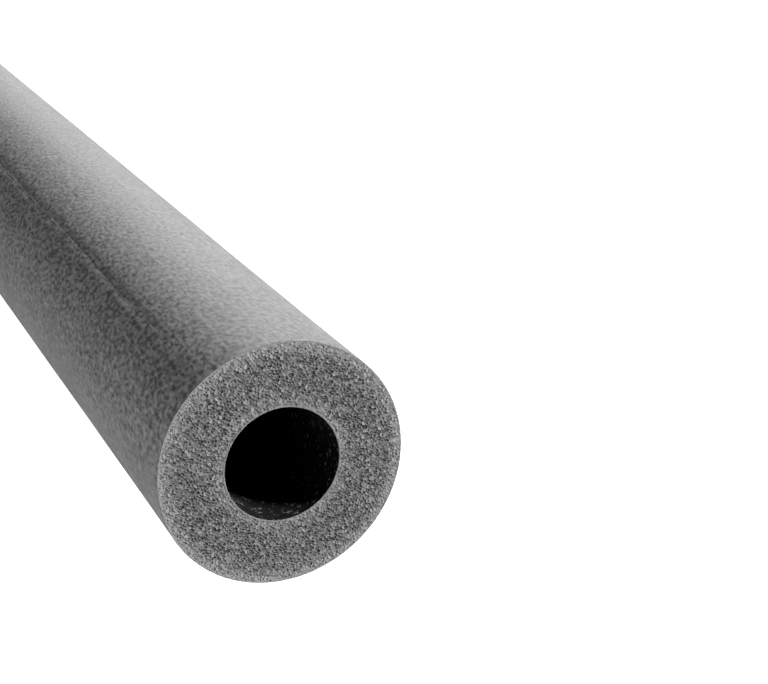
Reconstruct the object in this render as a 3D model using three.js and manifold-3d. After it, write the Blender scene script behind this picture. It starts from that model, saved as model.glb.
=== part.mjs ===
// Pipe lagging: one straight length of extruded polyethylene foam tube for a 22 mm pipe.
// The tube lies on its side along Y, with its underside on the plane Z = 0 and its middle over the
// origin. A fine V-shaped tear line, which the fitter opens to slip the tube over a pipe, runs the
// whole length of the skin. Both ends are cut square, and the knife leaves their edges soft.
import * as THREE from "three";
import { mergeVertices, toCreasedNormals } from "three/addons/utils/BufferGeometryUtils.js";
import Module from "manifold-3d";

// Driving dimensions, in millimetres and degrees
const PIPE_DIAMETER = 22;
const PIPE_CLEARANCE = 0.5;
const FOAM_WALL = 13;
const TUBE_LENGTH = 1000;
const OUTER_EDGE_RADIUS = 0.3;
const BORE_EDGE_RADIUS = 0.3;
const TEAR_LINE_WIDTH = 0.8;
const TEAR_LINE_DEPTH = 0.4;
const TEAR_LINE_ANGLE = 39;

// Fineness of the round shapes, and how near two points are to be one
const ROUND_STEPS = 60;
const EDGE_STEPS = 3;
const SAME_POINT = 1e-4;

// Sizes that follow from the driving dimensions
const BORE_RADIUS = PIPE_DIAMETER / 2 + PIPE_CLEARANCE;
const OUTER_RADIUS = BORE_RADIUS + FOAM_WALL;
const HALF_LENGTH = TUBE_LENGTH / 2;
const HALF_FACET = Math.PI / ROUND_STEPS;
const AXIS_HEIGHT = OUTER_RADIUS * Math.cos(HALF_FACET);

const FOAM_GREY = 0x6f6f71;
const FOAM_ROUGHNESS = 0.85;
const CREASE_ANGLE = THREE.MathUtils.degToRad(30);

const wasm = await Module();
wasm.setup();

// A closed geometry as a solid that can be cut.
function solidOf(geometry) {
  const bare = geometry.clone();
  bare.deleteAttribute("normal");
  bare.deleteAttribute("uv");
  const merged = mergeVertices(bare, SAME_POINT);
  return new wasm.Manifold(
    new wasm.Mesh({
      numProp: 3,
      vertProperties: merged.attributes.position.array,
      triVerts: new Uint32Array(merged.index.array),
    }),
  );
}

// A solid's surface as a geometry, smooth round the tube and sharp at its corners.
function geometryOf(solid) {
  const surface = solid.getMesh();
  const geometry = new THREE.BufferGeometry();
  geometry.setAttribute("position", new THREE.BufferAttribute(surface.vertProperties, 3));
  geometry.setIndex(new THREE.BufferAttribute(surface.triVerts, 1));
  return toCreasedNormals(geometry, CREASE_ANGLE);
}

// The points of a quarter circle in the wall's section, from one angle to the next.
function roundedCorner(radius, y, edgeRadius, startAngle) {
  const points = [];
  for (let step = 0; step <= EDGE_STEPS; step++) {
    const angle = startAngle + (step / EDGE_STEPS) * (Math.PI / 2);
    points.push(
      new THREE.Vector2(radius + edgeRadius * Math.cos(angle), y + edgeRadius * Math.sin(angle)),
    );
  }
  return points;
}

// The wall's section: a long strip between the bore and the skin, its four corners rounded.
function wallSection() {
  const skin = OUTER_RADIUS - OUTER_EDGE_RADIUS;
  const skinEnd = HALF_LENGTH - OUTER_EDGE_RADIUS;
  const bore = BORE_RADIUS + BORE_EDGE_RADIUS;
  const boreEnd = HALF_LENGTH - BORE_EDGE_RADIUS;
  const outline = [
    ...roundedCorner(skin, -skinEnd, OUTER_EDGE_RADIUS, -Math.PI / 2),
    ...roundedCorner(skin, skinEnd, OUTER_EDGE_RADIUS, 0),
    ...roundedCorner(bore, boreEnd, BORE_EDGE_RADIUS, Math.PI / 2),
    ...roundedCorner(bore, -boreEnd, BORE_EDGE_RADIUS, Math.PI),
  ];
  outline.push(outline[0].clone());
  return outline;
}

// The wall turned about the tube's axis, which a lathe takes as Y. It starts half a facet round, so
// that the tube lies on the middle of a facet and not on the corner between two.
function plainTube() {
  return new THREE.LatheGeometry(wallSection(), ROUND_STEPS, HALF_FACET);
}

// A long wedge that cuts the tear line into the top of the skin, before it is turned to its angle.
function tearLineWedge() {
  const overrun = TEAR_LINE_DEPTH;
  const tip = OUTER_RADIUS - TEAR_LINE_DEPTH;
  const top = OUTER_RADIUS + overrun;
  const halfTop = ((TEAR_LINE_WIDTH / 2) * (top - tip)) / TEAR_LINE_DEPTH;
  const section = new THREE.Shape();
  section.moveTo(0, tip);
  section.lineTo(halfTop, top);
  section.lineTo(-halfTop, top);
  section.closePath();
  const wedge = new THREE.ExtrudeGeometry(section, {
    depth: TUBE_LENGTH + 2 * overrun,
    bevelEnabled: false,
  });
  wedge.translate(0, 0, -HALF_LENGTH - overrun);
  wedge.rotateX(Math.PI / 2);
  wedge.rotateY(-THREE.MathUtils.degToRad(TEAR_LINE_ANGLE));
  return wedge;
}

function foamTube() {
  const cut = solidOf(plainTube()).subtract(solidOf(tearLineWedge()));
  const foam = new THREE.MeshStandardMaterial({
    color: FOAM_GREY,
    roughness: FOAM_ROUGHNESS,
    metalness: 0,
  });
  const tube = new THREE.Mesh(geometryOf(cut), foam);
  tube.name = "foam_tube";
  tube.position.z = AXIS_HEIGHT;
  return tube;
}

const lagging = new THREE.Group();
lagging.add(foamTube());

export default lagging;
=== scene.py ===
# %% [markdown]
# # A length of grey foam lagging
#
# Lagging is a foam tube that keeps the warmth in plumbing. It is pressed hot through a ring-shaped
# die, so a smooth skin forms outside and inside, and the foam between them is full of small cells. A
# blade cuts it to length, and only there do the cells show. A plain tube with painted foam could
# stand for it. This lesson makes the cells and the tear line as real shapes instead, so that they
# hold from every side. It has three parts: the mesh, the finishes and the studio.

import math
import random

import bmesh
import bpy
from mathutils import Matrix, Vector, geometry, noise


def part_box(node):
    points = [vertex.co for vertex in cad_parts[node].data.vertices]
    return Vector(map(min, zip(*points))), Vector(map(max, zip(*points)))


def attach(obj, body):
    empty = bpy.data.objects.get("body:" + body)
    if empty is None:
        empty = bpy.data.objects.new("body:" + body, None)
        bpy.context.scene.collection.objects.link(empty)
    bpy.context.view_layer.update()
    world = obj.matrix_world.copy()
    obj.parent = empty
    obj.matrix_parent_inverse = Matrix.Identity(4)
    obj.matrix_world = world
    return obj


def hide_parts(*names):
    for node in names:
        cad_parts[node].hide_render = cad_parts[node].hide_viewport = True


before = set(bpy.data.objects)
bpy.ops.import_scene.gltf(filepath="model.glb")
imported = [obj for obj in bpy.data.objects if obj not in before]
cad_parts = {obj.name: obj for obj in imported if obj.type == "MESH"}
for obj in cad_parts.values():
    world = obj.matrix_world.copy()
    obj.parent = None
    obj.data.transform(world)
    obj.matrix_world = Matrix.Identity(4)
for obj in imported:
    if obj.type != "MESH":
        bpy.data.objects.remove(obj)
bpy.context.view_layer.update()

# %% [markdown]
# ## Sizes
#
# The frame gives the tube's outside and its length, so they are read from it. The rest are the
# maker's own sizes: a 13 mm wall, and the corners that the blade leaves, which are nearly sharp. The
# mesh could be modelled in metres where it lies. It is modelled in millimetres round an axis at the
# origin, because there a radius is a plain distance, and it is shrunk to metres and lifted to its
# place at the very end. The near end is at -Y.

# %% Sizes in millimetres
METRE = 1000
tube_low, tube_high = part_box("foam_tube")
HALF_LENGTH = (tube_high.y - tube_low.y) / 2 * METRE
OUTER_RADIUS = (tube_high.z - tube_low.z) / 2 * METRE
AXIS_HEIGHT = (tube_high.z + tube_low.z) / 2

FOAM_WALL = 13
BORE_RADIUS = OUTER_RADIUS - FOAM_WALL
SKIN_CORNER = 0.11
BORE_CORNER = 0.11
FACE_OUTER = OUTER_RADIUS - SKIN_CORNER
FACE_INNER = BORE_RADIUS + BORE_CORNER
print(f"outside {2 * OUTER_RADIUS:.1f} mm, bore {2 * BORE_RADIUS:.1f} mm, length {2 * HALF_LENGTH:.0f} mm")

# %% [markdown]
# ## The cut face
#
# Where the blade went through, every cell is an open pit about half a millimetre wide between thin
# walls. A bump map could hint at them, but real pits catch the light as the foam does, and they stay
# in the exported mesh. The cells start as random points that keep their distance from each other, as
# bubbles do. The face is laid out in boxes so small that each holds one point at most, and a new
# point is only held against those in the boxes around it. When 300 new points in a row find no
# room, the face is full. Two rings of even points mark where the flat face ends. Both start on the
# tear line, so that the skin has a row of corners there later.

# %% Scatter the middles of the cells
TEAR_ANGLE = math.radians(-39)
CELL_GAP = 0.49
RIM_GAP = 0.22
OUTER_RIM_POINTS = 288
BORE_RIM_POINTS = 144
MOST_MISSES = 300
BOXES_AROUND = range(-2, 3)
SEED = 22
dice = random.Random(SEED)


def ring_point(radius, angle):
    """A point of the cut face. The angle is from the top, towards +X."""
    return Vector((radius * math.sin(angle), radius * math.cos(angle)))


def even_ring(radius, count):
    """Evenly spaced points, the first of them on the tear line."""
    return [ring_point(radius, TEAR_ANGLE + math.tau * k / count) for k in range(count)]


def scattered_points(inner, outer, gap):
    """Random points between two radii, none nearer to another than the gap."""
    box = gap / math.sqrt(2)
    taken = {}
    misses = 0
    while misses < MOST_MISSES:
        radius = math.sqrt(dice.uniform(inner**2, outer**2))
        point = ring_point(radius, dice.uniform(0, math.tau))
        column, row = int(point.x // box), int(point.y // box)
        around = [taken.get((column + i, row + j)) for i in BOXES_AROUND for j in BOXES_AROUND]
        if any(other is not None and (other - point).length < gap for other in around):
            misses += 1
        else:
            taken[column, row] = point
            misses = 0
    return list(taken.values())


rims = even_ring(FACE_OUTER, OUTER_RIM_POINTS) + even_ring(FACE_INNER, BORE_RIM_POINTS)
cell_middles = scattered_points(FACE_INNER + RIM_GAP, FACE_OUTER - RIM_GAP, CELL_GAP)
print("cells on one end:", len(cell_middles), "and", len(rims), "points on its rims")

# %% [markdown]
# Pressed bubbles share straight walls and meet three at a corner. Triangles between the points, as
# round as they can be (Delaunay's rule), are one step from that pattern: Dual Mesh, a Geometry Nodes
# node, turns every point into a many-sided face. A Voronoi texture shows the same pattern, but only
# as colour. No mesh operator makes that pattern, so this sheet alone starts from computed triangles.
# Those that bridge the open bore are left out.

# %% Turn the points into a sheet of cells
TRIANGLES_ONLY = 0
SAME_POINT = 1e-5


def triangle_sheet(points):
    """A mesh of triangles between the points, at the near end, open over the bore."""
    corners, _, triangles, *_ = geometry.delaunay_2d_cdt(points, [], [], TRIANGLES_ONLY, SAME_POINT)
    bm = bmesh.new()
    verts = [bm.verts.new((x, -HALF_LENGTH, z)) for x, z in corners]
    for triangle in triangles:
        if any(corners[k].length > FACE_INNER + SAME_POINT for k in triangle):
            bm.faces.new([verts[k] for k in triangle])
    mesh = bpy.data.meshes.new("cell_triangles")
    bm.to_mesh(mesh)
    bm.free()
    return mesh


def dual_of(mesh):
    """The mesh turned inside out: a face for every corner and a corner for every face."""
    group = bpy.data.node_groups.new("faces_round_corners", "GeometryNodeTree")
    for way in ("INPUT", "OUTPUT"):
        group.interface.new_socket("Geometry", in_out=way, socket_type="NodeSocketGeometry")
    start = group.nodes.new("NodeGroupInput")
    dual = group.nodes.new("GeometryNodeDualMesh")
    end = group.nodes.new("NodeGroupOutput")
    dual.inputs["Keep Boundaries"].default_value = True
    group.links.new(start.outputs[0], dual.inputs["Mesh"])
    group.links.new(dual.outputs[0], end.inputs[0])

    carrier = bpy.data.objects.new("cell_sheet", mesh)
    bpy.context.scene.collection.objects.link(carrier)
    carrier.modifiers.new("cells", "NODES").node_group = group
    depsgraph = bpy.context.evaluated_depsgraph_get()
    result = bpy.data.meshes.new_from_object(carrier.evaluated_get(depsgraph))
    bpy.data.objects.remove(carrier)
    return result


bm = bmesh.new()
bm.from_mesh(dual_of(triangle_sheet(rims + cell_middles)))
print("cell sheet:", len(bm.faces), "faces,", len(bm.verts), "corners")

# %% [markdown]
# The foam isn't the same all through. It set first beside the skin and the bore, so the cells there
# are denser: the blade leaves them shallower and paler. A painted mask could say where, but a sum on
# the distance from the axis follows the ring exactly. Next to the rims the pits die away.

# %% Say how dense the foam is, and how deep its pits are
DENSE_DEPTH = 3.5
BORE_DENSITY = 0.6
SHALLOW_PIT = 0.06
DEEP_PIT = 0.24
DENSE_PIT = 0.5
PLAIN_RIM = 0.15


def smooth_step(value):
    """0 below 0, 1 above 1, and a soft curve between."""
    t = min(max(value, 0), 1)
    return t * t * (3 - 2 * t)


def density_at(radius):
    """1 at the skin, a little less at the bore, and 0 in the open foam between them."""
    by_skin = smooth_step(1 - (FACE_OUTER - radius) / DENSE_DEPTH)
    by_bore = smooth_step(1 - (radius - FACE_INNER) / DENSE_DEPTH)
    return max(by_skin, BORE_DENSITY * by_bore)


def pit_depth_at(radius):
    """A random depth for a cell at that distance from the axis."""
    from_rim = min(radius - FACE_INNER, FACE_OUTER - radius) - RIM_GAP / 2
    deepest = smooth_step(from_rim / PLAIN_RIM) * (1 - DENSE_PIT * density_at(radius))
    return deepest * dice.uniform(SHALLOW_PIT, DEEP_PIT)


middle_radius = (FACE_OUTER + FACE_INNER) / 2
print(f"density: skin {density_at(FACE_OUTER):.1f}, middle {density_at(middle_radius):.1f}, "
      f"bore {density_at(FACE_INNER):.1f}")

# %% [markdown]
# Every cell was cut at another height, so each gets its own depth and its own tone. A noise texture
# could colour them, but its blobs would run across the walls. The tone is kept on the face itself,
# and is set against the mean of the cells around it, so that pale cells stand beside dark ones and
# no soft blotches form. The depths go in steps, because the cells of one step can be pressed in
# together. The blade tears the cells at the rims, so those stay level, and their corners get a
# random painted shade instead of the painted shade that a pit's depth gives.

# %% Give every cell its tone and its depth
TONE_CONTRAST = 0.8
DENSE_CALM = 0.5
DENSE_TONE = 1.8
DEPTH_STEP = 0.03
RIM_SHADE_LEAST = 0.0
RIM_SHADE_MOST = 1.3
SKIN, FACE, BORE = 0, 1, 2

tone = bm.faces.layers.float.new("cell_tone")
# The pit shade layer holds painted shade: how much darker the cut foam's colour is made at each corner.
pit_shade = bm.verts.layers.float.new("painted_pit_shade")
coarse = bm.verts.layers.float.new("coarse_skin")

own_tone = {face: dice.gauss(0, 1) for face in bm.faces}
cells_by_depth = {}
for face in bm.faces:
    around = [own_tone[g] for e in face.edges for g in e.link_faces if g is not face]
    middle = face.calc_center_median()
    radius = math.hypot(middle.x, middle.z)
    dense = density_at(radius)
    contrast = own_tone[face] - TONE_CONTRAST * sum(around) / max(len(around), 1)
    face[tone] = contrast * (1 - DENSE_CALM * dense) + DENSE_TONE * dense
    face.material_index = FACE
    if any(edge.is_boundary for edge in face.edges):
        for v in face.verts:
            # Painted shade: the corners of the torn rim cells are darkened at random, like the shade in
            # the pits.
            v[pit_shade] = dice.uniform(RIM_SHADE_LEAST, RIM_SHADE_MOST)
    else:
        steps = round(pit_depth_at(radius) / DEPTH_STEP)
        cells_by_depth.setdefault(steps, []).append(face)

print("cells by depth:", {steps: len(cells) for steps, cells in sorted(cells_by_depth.items())})

# %% [markdown]
# Now the cells are pressed in. Inset Individual shrinks each face inside its own edges and pushes it
# down, which leaves thin walls that the pits share. Extruding and then scaling each face would do
# the same in two operations. Last, every pit's floor leans a little its own way, because the blade
# opens some bubbles near their top and some near their bottom.

# %% Press the cells in
PIT_SLOPE = 0.08
FLOOR_LEAN = 0.35

for steps, cells in sorted(cells_by_depth.items()):
    bmesh.ops.inset_individual(
        bm, faces=cells, thickness=PIT_SLOPE, depth=-steps * DEPTH_STEP, use_even_offset=True
    )

for steps, cells in sorted(cells_by_depth.items()):
    for cell in cells:
        middle = cell.calc_center_median()
        lean = Vector((dice.uniform(-1, 1), 0, dice.uniform(-1, 1))) * FLOOR_LEAN
        for v in cell.verts:
            # Painted shade: the deeper the pit, the darker the colour of its floor.
            v[pit_shade] = steps * DEPTH_STEP / DEEP_PIT
            v.co.y += lean.dot(v.co - middle)
print("cut face:", len(bm.faces), "faces")

# %% [markdown]
# ## The skin and the bore
#
# The rest of the tube grows out of the cut face. A separate tube could be joined on, but its corners
# would have to meet the face's, and a face that grows by extruding its own rim is closed from the
# start. A quarter circle of rings makes the corner. The blade leaves it ragged, so its points are
# moved a little at random, and it keeps the cut foam's finish, each facet with its own tone. Extrude
# gives its new facets in no fixed order, so they are sorted round the ring before the dice are
# thrown for them, and every run comes out the same. One narrow ring then starts the skin, or the
# bore, so that smooth shading doesn't bend round the corner. The rings after it stand closer
# together near the cut, where the eye is. They stop at half the length, because Mirror makes the
# other half.

# %% Grow the corners, the skin and the bore
CORNER_STEPS = 3
FIRST_RING = 0.12
SKIN_RINGS = 20
BORE_RINGS = 10
CROWDING = 1.5
RING_TONE = 0.8
RING_CONTRAST = 1.5
RAGGED = 0.035


def reach(v):
    """A corner's distance from the tube's axis."""
    return math.hypot(v.co.x, v.co.z)


def turn_of(face):
    """The angle of a face's middle round the tube, from the top towards +X."""
    middle = face.calc_center_median()
    return math.atan2(middle.x, middle.z)


def ring_edges(radius):
    """The open edges of the cut face at that radius."""
    return [e for e in bm.edges if e.is_boundary and abs(reach(e.verts[0]) - radius) < RIM_GAP / 2]


def grow_ring(edges, radius, y, finish, ragged=0.0):
    """Extrudes a ring of edges to a new radius and place, and returns the new ring."""
    made = bmesh.ops.extrude_edge_only(bm, edges=edges)["geom"]
    corners = [g for g in made if isinstance(g, bmesh.types.BMVert)]
    facets = [g for g in made if isinstance(g, bmesh.types.BMFace)]
    for face in sorted(facets, key=turn_of):
        face.material_index = finish
        face.smooth = True
        face[tone] = dice.gauss(RING_TONE, RING_CONTRAST)
    for v in corners:
        # Painted shade: every new corner gets a random darkness, which the cut foam's finish shows on the
        # rim corners.
        v[pit_shade] = dice.uniform(RIM_SHADE_LEAST, RIM_SHADE_MOST)
        side = (radius + dice.uniform(-ragged, ragged)) / reach(v)
        v.co = (v.co.x * side, y + dice.uniform(-ragged, ragged), v.co.z * side)
    on_ring = set(corners)
    return [g for g in made if isinstance(g, bmesh.types.BMEdge) and on_ring.issuperset(g.verts)]


def grow_wall(start_radius, radius, corner, rings, finish):
    """The corner and then the wall, from the cut face to the middle of the tube."""
    edges = ring_edges(start_radius)
    side = 1 if radius > start_radius else -1
    for step in range(1, CORNER_STEPS + 1):
        turn = math.pi / 2 * step / CORNER_STEPS
        out = start_radius + side * corner * math.sin(turn)
        edges = grow_ring(edges, out, -HALF_LENGTH + corner * (1 - math.cos(turn)), FACE, RAGGED)
    edges = grow_ring(edges, radius, -HALF_LENGTH + corner + FIRST_RING, finish)
    for step in range(1, rings + 1):
        share = (step / rings) ** CROWDING
        edges = grow_ring(edges, radius, -(HALF_LENGTH - corner - FIRST_RING) * (1 - share), finish)


grow_wall(FACE_OUTER, OUTER_RADIUS, SKIN_CORNER, SKIN_RINGS, SKIN)
grow_wall(FACE_INNER, BORE_RADIUS, BORE_CORNER, BORE_RINGS, BORE)
print("half a tube:", len(bm.faces), "faces")

# %% [markdown]
# ## The tear line
#
# The maker scores the skin along its whole length, so that the tube can be opened with a thumb.
# The score is 0.8 mm wide between its lips. A dark stripe in the finish could stand for it, but a
# groove gets its shade from the lamps and shows in the exported mesh. Two cuts with Bisect Plane set
# the lips, on either side of the row of corners that the skin already has there. The edges between
# the lips are long, and Subdivide Edges parts them, so that the line can change every few
# millimetres.

# %% Cut the tear line's lips
TEAR_WIDTH = 0.8
LIP_TURN = TEAR_WIDTH / 2 / OUTER_RADIUS
LIP_MARGIN = 1.1
TEAR_REACH = math.radians(5)
TEAR_CUTS = 7
LONG_EDGE = 2.5


def angle_of(place):
    """The angle of a place from the tear line, seen along the tube."""
    turn = math.atan2(place.x, place.z) - TEAR_ANGLE
    return (turn + math.pi) % math.tau - math.pi


def strip_faces():
    """The skin's faces near the tear line."""
    return [
        f for f in bm.faces
        if f.material_index == SKIN and abs(angle_of(f.calc_center_median())) < TEAR_REACH
    ]


def is_long(edge):
    """True for an edge that runs far along the tube, on the lips or between them."""
    inside = all(abs(angle_of(v.co)) < LIP_TURN * LIP_MARGIN for v in edge.verts)
    return inside and abs(edge.verts[0].co.y - edge.verts[1].co.y) > LONG_EDGE


for lip in (-LIP_TURN, LIP_TURN):
    strip = strip_faces()
    parts = dict.fromkeys(g for f in strip for g in (*f.verts, *f.edges))
    turn = TEAR_ANGLE + lip
    bmesh.ops.bisect_plane(
        bm, geom=[*strip, *parts], dist=SAME_POINT, plane_co=(0, 0, 0),
        plane_no=(math.cos(turn), 0, -math.sin(turn)),
    )

strip_edges = dict.fromkeys(e for f in strip_faces() for e in f.edges)
long_edges = [e for e in strip_edges if is_long(e)]
bmesh.ops.subdivide_edges(bm, edges=long_edges, cuts=TEAR_CUTS, use_grid_fill=True)
print("tear line:", len(long_edges), "long edges parted")

# %% [markdown]
# Soft foam doesn't hold a crisp groove. The score is a shallow V in a sag of the skin that reaches
# about two millimetres to each side. Its lips stand a hair proud, and its valley lies off the
# middle, as the blade was held at a slant. The line wanders, and it is deeper here and shallower
# there, both slowly and roughly. Where the deep stretches fall is a matter of which slice of the
# noise is read. Near the cut end the line is pressed shut. A Displace modifier could move the
# corners, but one sum for each corner says all of this at once.

# %% Sink the tear line
TEAR_DEPTH = 0.09
TEAR_SLANT = 0.15
LIP_RISE = 0.01
SAG_DEPTH = 0.13
SAG_TURN = math.radians(4.5)
TEAR_WANDER = 0.3
WANDER_LENGTH = 35
TEAR_CHANGE = 0.8
CHANGE_LENGTH = 25
NOISE_SLICE = 117.66
TEAR_ROUGH = 0.9
ROUGH_LENGTH = 5
SHUT_DEPTH = 0.04
SHUT_START = 16
SHUT_LENGTH = 30


def openness_at(y, turn):
    """How deep the line is at a place: 1 as a rule, and almost 0 near the cut."""
    change = TEAR_CHANGE * noise.noise((y / CHANGE_LENGTH, NOISE_SLICE, 0))
    rough = TEAR_ROUGH * noise.noise((y / ROUGH_LENGTH, NOISE_SLICE, turn * OUTER_RADIUS))
    shut = smooth_step((y + HALF_LENGTH - SHUT_START) / SHUT_LENGTH)
    return SHUT_DEPTH + (1 + change + rough) * shut


strip_verts = {v for f in strip_faces() for v in f.verts}
for v in strip_verts:
    turn = angle_of(v.co)
    nearness = smooth_step(1 - abs(turn) / SAG_TURN)
    rise = -SAG_DEPTH * nearness
    shift = TEAR_WANDER * noise.noise((v.co.y / WANDER_LENGTH, 0, 0)) * nearness
    if abs(turn) < LIP_TURN / 2:
        rise -= TEAR_DEPTH
        shift -= TEAR_SLANT
    elif abs(turn) < LIP_TURN * LIP_MARGIN:
        rise += LIP_RISE
    radius = reach(v) + rise * openness_at(v.co.y, turn)
    x, z = ring_point(radius, TEAR_ANGLE + turn + shift / OUTER_RADIUS)
    v.co = (x, v.co.y, z)
print("tear line:", len(strip_verts), "corners")

# %% [markdown]
# The skin isn't equally smooth all round. On the flank with the tear line the cells press through
# more, and the skin looks coarser there. That could be a second finish, but then an edge would show
# between the two. So every corner of the mesh says how coarse its skin is, the finish reads it, and
# one fades into the other.

# %% Say where the skin is coarser
COARSE_MIDDLE = math.radians(-11)
COARSE_REACH = math.radians(50)

for v in bm.verts:
    v[coarse] = smooth_step(1 - abs(angle_of(v.co) - COARSE_MIDDLE) / COARSE_REACH)
print("coarse skin:", sum(v[coarse] > 0 for v in bm.verts), "corners")

# %% [markdown]
# Foam is never quite round or quite straight, and a blade never leaves it dead flat. A slow, shallow
# wave along the skin and in the bore keeps the long highlight from looking drawn with a ruler, and
# another moves the cut face. A Displace modifier could make both, but the wave has to fade towards
# the cut, where the rims keep their size, and a sum does that in one line.

# %% Make it a little uneven
WAVE_LENGTH = 30
SKIN_WAVE = 0.07
FACE_WAVE = 0.1
FACE_WAVE_LENGTH = OUTER_RADIUS / 2

for v in bm.verts:
    wave = noise.noise(v.co / WAVE_LENGTH)
    from_end = v.co.y + HALF_LENGTH
    along = smooth_step(from_end / WAVE_LENGTH)
    side = 1 + (wave - 1) * SKIN_WAVE * along / reach(v)
    v.co.x *= side
    v.co.z *= side
    if from_end < DEEP_PIT + SKIN_CORNER:
        v.co.y += FACE_WAVE * (1 + noise.noise(v.co / FACE_WAVE_LENGTH)) / 2
print("highest point:", round(max(v.co.z for v in bm.verts), 3), "mm above the axis")

# %% [markdown]
# Both ends of a real length are cut alike. The second half could grow as the first did, but Mirror
# copies it and joins the two in the middle. After it the faces may point either way, so the normals
# are worked out again on the closed shape. Then the whole mesh takes its place in the frame, and the
# object itself stays at the origin, unturned.

# %% Close the tube and put it in its place
parts = bm.verts[:] + bm.edges[:] + bm.faces[:]
bmesh.ops.mirror(bm, geom=parts, matrix=Matrix.Identity(4), axis="Y", merge_dist=SAME_POINT)
bmesh.ops.recalc_face_normals(bm, faces=bm.faces)
to_frame = Matrix.Translation((0, 0, AXIS_HEIGHT)) @ Matrix.Scale(1 / METRE, 4)
bmesh.ops.transform(bm, matrix=to_frame, verts=bm.verts)

open_edges = sum(not e.is_manifold for e in bm.edges)
triangles = sum(len(f.verts) - 2 for f in bm.faces)
foam_mesh = bpy.data.meshes.new("lagging_foam")
bm.to_mesh(foam_mesh)
bm.free()
foam = bpy.data.objects.new("lagging_foam", foam_mesh)
bpy.context.scene.collection.objects.link(foam)
print("lagging_foam:", triangles, "triangles,", open_edges, "open edges")

# %% [markdown]
# ## Writing finishes as sums
#
# A finish is a net of small nodes. They could be placed and joined one by one, but that hides the
# idea behind the wiring. So this class wraps one wire of the net. Python's own signs between wires
# and numbers add the Math nodes, and `node` adds any other kind: its settings are set first, then
# its sockets get values or wires.

# %% A wire that does sums


def fill_sockets(node, sockets):
    """Gives a node's sockets their values, or the wires that come in."""
    for name, value in (sockets or {}).items():
        if isinstance(value, Wire):
            node.id_data.links.new(value.socket, node.inputs[name])
        else:
            node.inputs[name].default_value = value


class Wire:
    """One output of a node in a finish."""

    def __init__(self, socket):
        self.socket = socket

    @staticmethod
    def node_in(tree, kind, settings=None, sockets=None, output=0):
        """Adds a node to a tree and gives back a wire from one of its outputs."""
        node = tree.nodes.new(kind)
        for name, value in (settings or {}).items():
            setattr(node, name, value)
        fill_sockets(node, sockets)
        return Wire(node.outputs[output])

    def node(self, kind, settings=None, sockets=None, output=0):
        """Adds a node to this wire's own tree."""
        return Wire.node_in(self.socket.id_data, kind, settings, sockets, output)

    def maths(self, operation, first, second):
        """Adds a Math node that works on two wires or numbers."""
        return self.node("ShaderNodeMath", {"operation": operation}, {0: first, 1: second})

    def __add__(self, other):
        return self.maths("ADD", self, other)

    def __sub__(self, other):
        return self.maths("SUBTRACT", self, other)

    def __rsub__(self, other):
        return self.maths("SUBTRACT", other, self)

    def __mul__(self, other):
        return self.maths("MULTIPLY", self, other)

    __radd__ = __add__
    __rmul__ = __mul__

    def between(self, low, high):
        """0 where this wire is at or below low, 1 at or above high."""
        return self.node(
            "ShaderNodeMapRange", None, {"Value": self, "From Min": low, "From Max": high}
        )

    def shade(self, dark, light):
        """A colour from dark to light, as this wire goes from 0 to 1."""
        return self.node("ShaderNodeMix", {"data_type": "RGBA"}, {0: self, 6: dark, 7: light}, 2)


# %% [markdown]
# The three finishes share two patterns: a soft noise of any size, and a field of small cells. A
# picture wrapped round the tube could hold them, but it would need a seam and would blur close up.
# These are worked out from the tube's own coordinates, in metres, and a Mapping node turns those to
# millimetres or stretches them along the tube, the way in which the foam was drawn.

# %% Patterns that the finishes share
NOISE_MIDDLE = 0.5
SOFT_WALLS = 0.6


def start_finish(name):
    """A new material and its wire of object coordinates."""
    material = bpy.data.materials.new(name)
    material.use_nodes = True
    return material, Wire.node_in(material.node_tree, "ShaderNodeTexCoord", output="Object")


def from_mesh(place, layer):
    """A number that the mesh carries on its faces or corners."""
    return place.node("ShaderNodeAttribute", {"attribute_name": layer}, None, "Fac")


def sized(place, across, along=None):
    """Coordinates in which one unit is that many millimetres across and along the tube."""
    scale = (METRE / across, METRE / (along or across), METRE / across)
    return place.node("ShaderNodeMapping", None, {"Vector": place, "Scale": scale})


def cloud(place, size, along=None, detail=2.0):
    """Soft noise from -0.5 to 0.5, its blobs that many millimetres wide."""
    sockets = {"Vector": sized(place, size, along), "Scale": 1.0, "Detail": detail}
    return place.node("ShaderNodeTexNoise", None, sockets) - NOISE_MIDDLE


def bubbles(place, size, along=None):
    """Distance from the middle of the nearest cell, each about that many millimetres wide."""
    sockets = {"Vector": sized(place, size, along), "Scale": 1.0, "Smoothness": SOFT_WALLS}
    return place.node("ShaderNodeTexVoronoi", {"feature": "SMOOTH_F1"}, sockets, "Distance")


def end_finish(material, base, roughness, height, bump_mm, gloss):
    """Ends a finish at the material's own shader, with the height as bump, and puts it on the foam."""
    shader = material.node_tree.nodes["Principled BSDF"]
    normal = height.node("ShaderNodeBump", None, {"Distance": bump_mm / METRE, "Height": height})
    fill_sockets(shader, {"Base Color": base, "Roughness": roughness, "Normal": normal})
    shader.inputs["Specular IOR Level"].default_value = gloss
    foam_mesh.materials.append(material)
    print("finish:", material.name, "with", len(material.node_tree.nodes), "nodes")


# %% [markdown]
# ## The skin
#
# The skin is closed and satin smooth, yet the cells press through it from below as a fine pebbling,
# twice as long as it is wide, because the hot foam was drawn out of its die. The die also leaves
# long, faint streaks, and the grey is a little cloudy, as the foam is thinner in some places. Real
# pebbles in the mesh would take millions of faces and would hardly be seen, so here a bump is
# enough. The skin mirrors little, and only the back lamp's flat light makes it shine.

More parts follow.
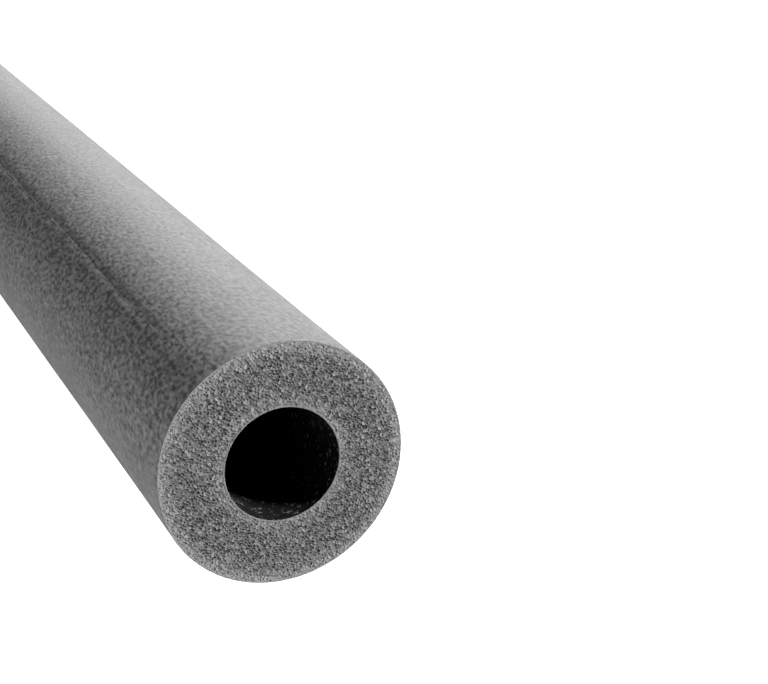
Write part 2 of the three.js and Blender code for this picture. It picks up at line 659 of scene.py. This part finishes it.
# %% The skin's finish
GREY_DARK = (0.10, 0.10, 0.102, 1)
GREY_LIGHT = (0.36, 0.36, 0.362, 1)
SKIN_LEVEL = 0.5
CLOUD_SIZE = 14
CLOUD_SHARE = 0.25
STREAK_WIDTH = 1.2
STREAK_LENGTH = 60
STREAK_SHARE = 0.12
SPECKLE_WIDTH = 0.8
SPECKLE_LENGTH = 1.6
SPECKLE_SHARE = 1.0
COARSE_SHARE = 1.8
PEBBLE_WIDTH = 0.9
PEBBLE_LENGTH = 1.8
PEBBLE_HEIGHT = 0.8
SPECKLE_HEIGHT = 0.6
STREAK_HEIGHT = 0.15
SKIN_ROUGHNESS = 0.6
CLOUD_ROUGHNESS = 0.1

skin, place = start_finish("foam_skin")
clouds = cloud(place, CLOUD_SIZE)
streaks = cloud(place, STREAK_WIDTH, along=STREAK_LENGTH)
speckle = cloud(place, SPECKLE_WIDTH, along=SPECKLE_LENGTH, detail=1.0)
pebbles = bubbles(place, PEBBLE_WIDTH, along=PEBBLE_LENGTH)
speckle_share = SPECKLE_SHARE + COARSE_SHARE * from_mesh(place, "coarse_skin")
level = SKIN_LEVEL + CLOUD_SHARE * clouds + STREAK_SHARE * streaks + speckle_share * speckle
end_finish(
    skin,
    base=level.shade(GREY_DARK, GREY_LIGHT),
    roughness=SKIN_ROUGHNESS + CLOUD_ROUGHNESS * clouds,
    height=PEBBLE_HEIGHT * pebbles + SPECKLE_HEIGHT * speckle + STREAK_HEIGHT * streaks,
    bump_mm=0.06,
    gloss=0.22,
)

# %% [markdown]
# ## The cut foam
#
# The walls between the cells are pale and matt. The pits get painted shade: their colour is made
# darker the deeper they go. A texture could guess where the pits are. The mesh knows it, so the
# finish reads each cell's tone and each pit's painted shade from there, and the colour follows the
# shape exactly. Only two things are noise: the grain of the torn plastic, finer than a cell, and
# faint patches a few millimetres wide.

# %% The cut foam's finish
CUT_DARK = (0.067, 0.067, 0.068, 1)
CUT_LIGHT = (0.241, 0.241, 0.242, 1)
CUT_LEVEL = 0.62
CELL_SHARE = 0.18
PIT_SHADE_SHARE = 0.4
GRAIN_SIZE = 0.22
GRAIN_SHARE = 0.15
PATCH_SIZE = 5
PATCH_SHARE = 0.3
CUT_ROUGHNESS = 0.8
GRAIN_ROUGHNESS = 0.2

cut, place = start_finish("cut_foam")
cell = from_mesh(place, "cell_tone")
depth = from_mesh(place, "painted_pit_shade")
grain = cloud(place, GRAIN_SIZE, detail=1.0)
patches = cloud(place, PATCH_SIZE)
# The pit shade term is painted shade. It darkens the colour in the pits and on the torn rims.
level = CUT_LEVEL + CELL_SHARE * cell - PIT_SHADE_SHARE * depth + GRAIN_SHARE * grain + PATCH_SHARE * patches
end_finish(
    cut,
    base=level.shade(CUT_DARK, CUT_LIGHT),
    roughness=CUT_ROUGHNESS + GRAIN_ROUGHNESS * grain,
    height=grain,
    bump_mm=0.05,
    gloss=0.15,
)

# %% [markdown]
# ## The bore
#
# The inside has a skin too, drawn over the die's core while soft. Its colour is painted almost
# black, as painted shade for the dark inside of the tube, with short pale specks where it is
# wrinkled and catches what light gets past the mouth. One dark grey would leave the mouth flat. Two
# noises are added and only their highest peaks are kept, which gives sparse specks on the painted
# shade, where a plain noise would give an even grey.

# %% The bore's finish
# Painted shade: the bore's colour is almost black, standing in for the dark inside of the tube.
BORE_PAINTED_SHADE = (0.006, 0.006, 0.006, 1)
BORE_LIGHT = (0.24, 0.24, 0.24, 1)
WRINKLE_WIDTH = 1.3
WRINKLE_LENGTH = 1.0
SPECK_WIDTH = 0.5
SPECK_LENGTH = 0.9
SPECK_SHARE = 0.7
SPECK_START = 0.12
SPECK_FULL = 0.42
SPECK_HEIGHT = 0.4
BORE_ROUGHNESS = 0.8
SPECK_ROUGHNESS = 0.2

bore, place = start_finish("bore_foam")
wrinkles = cloud(place, WRINKLE_WIDTH, along=WRINKLE_LENGTH)
specks = cloud(place, SPECK_WIDTH, along=SPECK_LENGTH, detail=1.0)
level = (wrinkles + SPECK_SHARE * specks).between(SPECK_START, SPECK_FULL)
end_finish(
    bore,
    base=level.shade(BORE_PAINTED_SHADE, BORE_LIGHT),
    roughness=BORE_ROUGHNESS + SPECK_ROUGHNESS * specks,
    height=wrinkles + SPECK_HEIGHT * specks,
    bump_mm=0.12,
    gloss=0.1,
)

# %% [markdown]
# ## The studio
#
# The tube is pictured on pure white, with nothing in sight but itself. A lit white floor would turn
# grey towards its edges, so this one glows by itself. It throws light up under the tube as a sheet
# of white paper does, and it is kept out of reflections, where it would wash out the skin. The world
# is white for the camera alone, so that nothing but the floor and the lamps shades the tube.

# %% Floor and world
FLOOR_SIDE = 8.0
FLOOR_GLOW = 1.35
FLOOR_GREY = (0.2, 0.2, 0.2, 1)
FLOOR_ROUGHNESS = 0.9
WHITE = (1, 1, 1, 1)


def make_floor():
    """A big square at the tube's foot that glows white and mirrors nothing."""
    bm = bmesh.new()
    bmesh.ops.create_grid(bm, x_segments=1, y_segments=1, size=FLOOR_SIDE / 2)
    mesh = bpy.data.meshes.new("floor")
    bm.to_mesh(mesh)
    bm.free()
    floor = bpy.data.objects.new("floor", mesh)
    bpy.context.scene.collection.objects.link(floor)
    material = bpy.data.materials.new("floor_white")
    material.use_nodes = True
    shader = material.node_tree.nodes["Principled BSDF"]
    shader.inputs["Base Color"].default_value = FLOOR_GREY
    shader.inputs["Roughness"].default_value = FLOOR_ROUGHNESS
    shader.inputs["Specular IOR Level"].default_value = 0.0
    shader.inputs["Emission Color"].default_value = WHITE
    shader.inputs["Emission Strength"].default_value = FLOOR_GLOW
    mesh.materials.append(material)
    floor.visible_glossy = False


def make_world():
    """A white backdrop that only the camera sees."""
    world = bpy.data.worlds.new("studio")
    world.use_nodes = True
    world.node_tree.nodes["Background"].inputs["Color"].default_value = WHITE
    world.node_tree.nodes["Background"].inputs["Strength"].default_value = 1.0
    world.cycles_visibility.diffuse = False
    world.cycles_visibility.glossy = False
    bpy.context.scene.world = world


make_floor()
make_world()
bpy.context.scene.view_settings.view_transform = "Standard"
print("floor:", FLOOR_SIDE, "m wide, glow", FLOOR_GLOW)

# %% [markdown]
# Each lamp has one job. The key lamp, high on the right and a little in front, shades the skin and
# the cut face. A weak fill lamp, low on the left, opens the dark flank. A wide lamp at the back
# gives the skin its satin band, because a skin that is seen almost along its surface mirrors what
# lies beyond it. Suns or spots would do too, but square area lamps have a size, and a lamp's size
# sets how soft its shadows are. All three look at the near end of the tube.

# %% Lamps
LAMP_AIM = Vector((0, 0.05, 0))


def soft_lamp(name, turn, height, distance, size, watts):
    """A square lamp that looks at the near end. It stands at that many degrees from +X towards
    the front, and that many degrees above the floor."""
    turn, height = math.radians(turn), math.radians(height)
    flat = math.cos(height)
    way = Vector((math.cos(turn) * flat, -math.sin(turn) * flat, math.sin(height)))
    aim = Vector((0, tube_low.y, AXIS_HEIGHT)) + LAMP_AIM
    data = bpy.data.lights.new(name, "AREA")
    data.size = size
    data.energy = watts
    lamp = bpy.data.objects.new(name, data)
    face_aim = (-way).to_track_quat("-Z", "Y").to_matrix().to_4x4()
    lamp.matrix_world = Matrix.Translation(aim + way * distance) @ face_aim
    bpy.context.scene.collection.objects.link(lamp)
    print(f"{name}: {watts} W, {size} m wide, {distance} m away")


soft_lamp("key_lamp", turn=31, height=38, distance=3.0, size=0.6, watts=182)
soft_lamp("low_fill", turn=175, height=4, distance=1.2, size=0.5, watts=1.0)
soft_lamp("back_lamp", turn=-70, height=26, distance=3.0, size=1.6, watts=34)

# %% [markdown]
# ## The camera
#
# It stands in front of the near end, to the left of the tube and above it, and looks down along the
# tube with its head a degree and a half to one side. A Track To constraint could aim it, but it
# can't tilt the head. So the camera gets two directions, where it looks and which way is right, and
# the third follows from them as a cross product.

# %% Camera
CAMERA_PLACE = Vector((-0.1001, -0.7618, 0.1491))
CAMERA_LOOK = Vector((0.3932, 0.856, -0.3357))
CAMERA_RIGHT = Vector((0.9122, -0.4088, 0.0261))
CAMERA_LENS = 76.3
SENSOR_WIDTH = 36
NEAREST_SEEN = 0.01


def make_camera():
    """The scene's camera, at its place and turned the right way."""
    back = -CAMERA_LOOK.normalized()
    right = CAMERA_RIGHT.normalized()
    up = back.cross(right)
    data = bpy.data.cameras.new("camera")
    data.lens = CAMERA_LENS
    data.sensor_width = SENSOR_WIDTH
    data.clip_start = NEAREST_SEEN
    camera = bpy.data.objects.new("camera", data)
    turn = Matrix((right, up, back)).transposed().to_4x4()
    camera.matrix_world = Matrix.Translation(CAMERA_PLACE) @ turn
    bpy.context.scene.collection.objects.link(camera)
    bpy.context.scene.camera = camera
    print("camera:", CAMERA_LENS, "mm lens at", tuple(round(part, 3) for part in CAMERA_PLACE))


make_camera()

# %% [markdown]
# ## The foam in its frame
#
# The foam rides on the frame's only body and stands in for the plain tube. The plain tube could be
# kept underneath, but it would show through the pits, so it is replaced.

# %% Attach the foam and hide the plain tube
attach(foam, "root")
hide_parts("foam_tube")
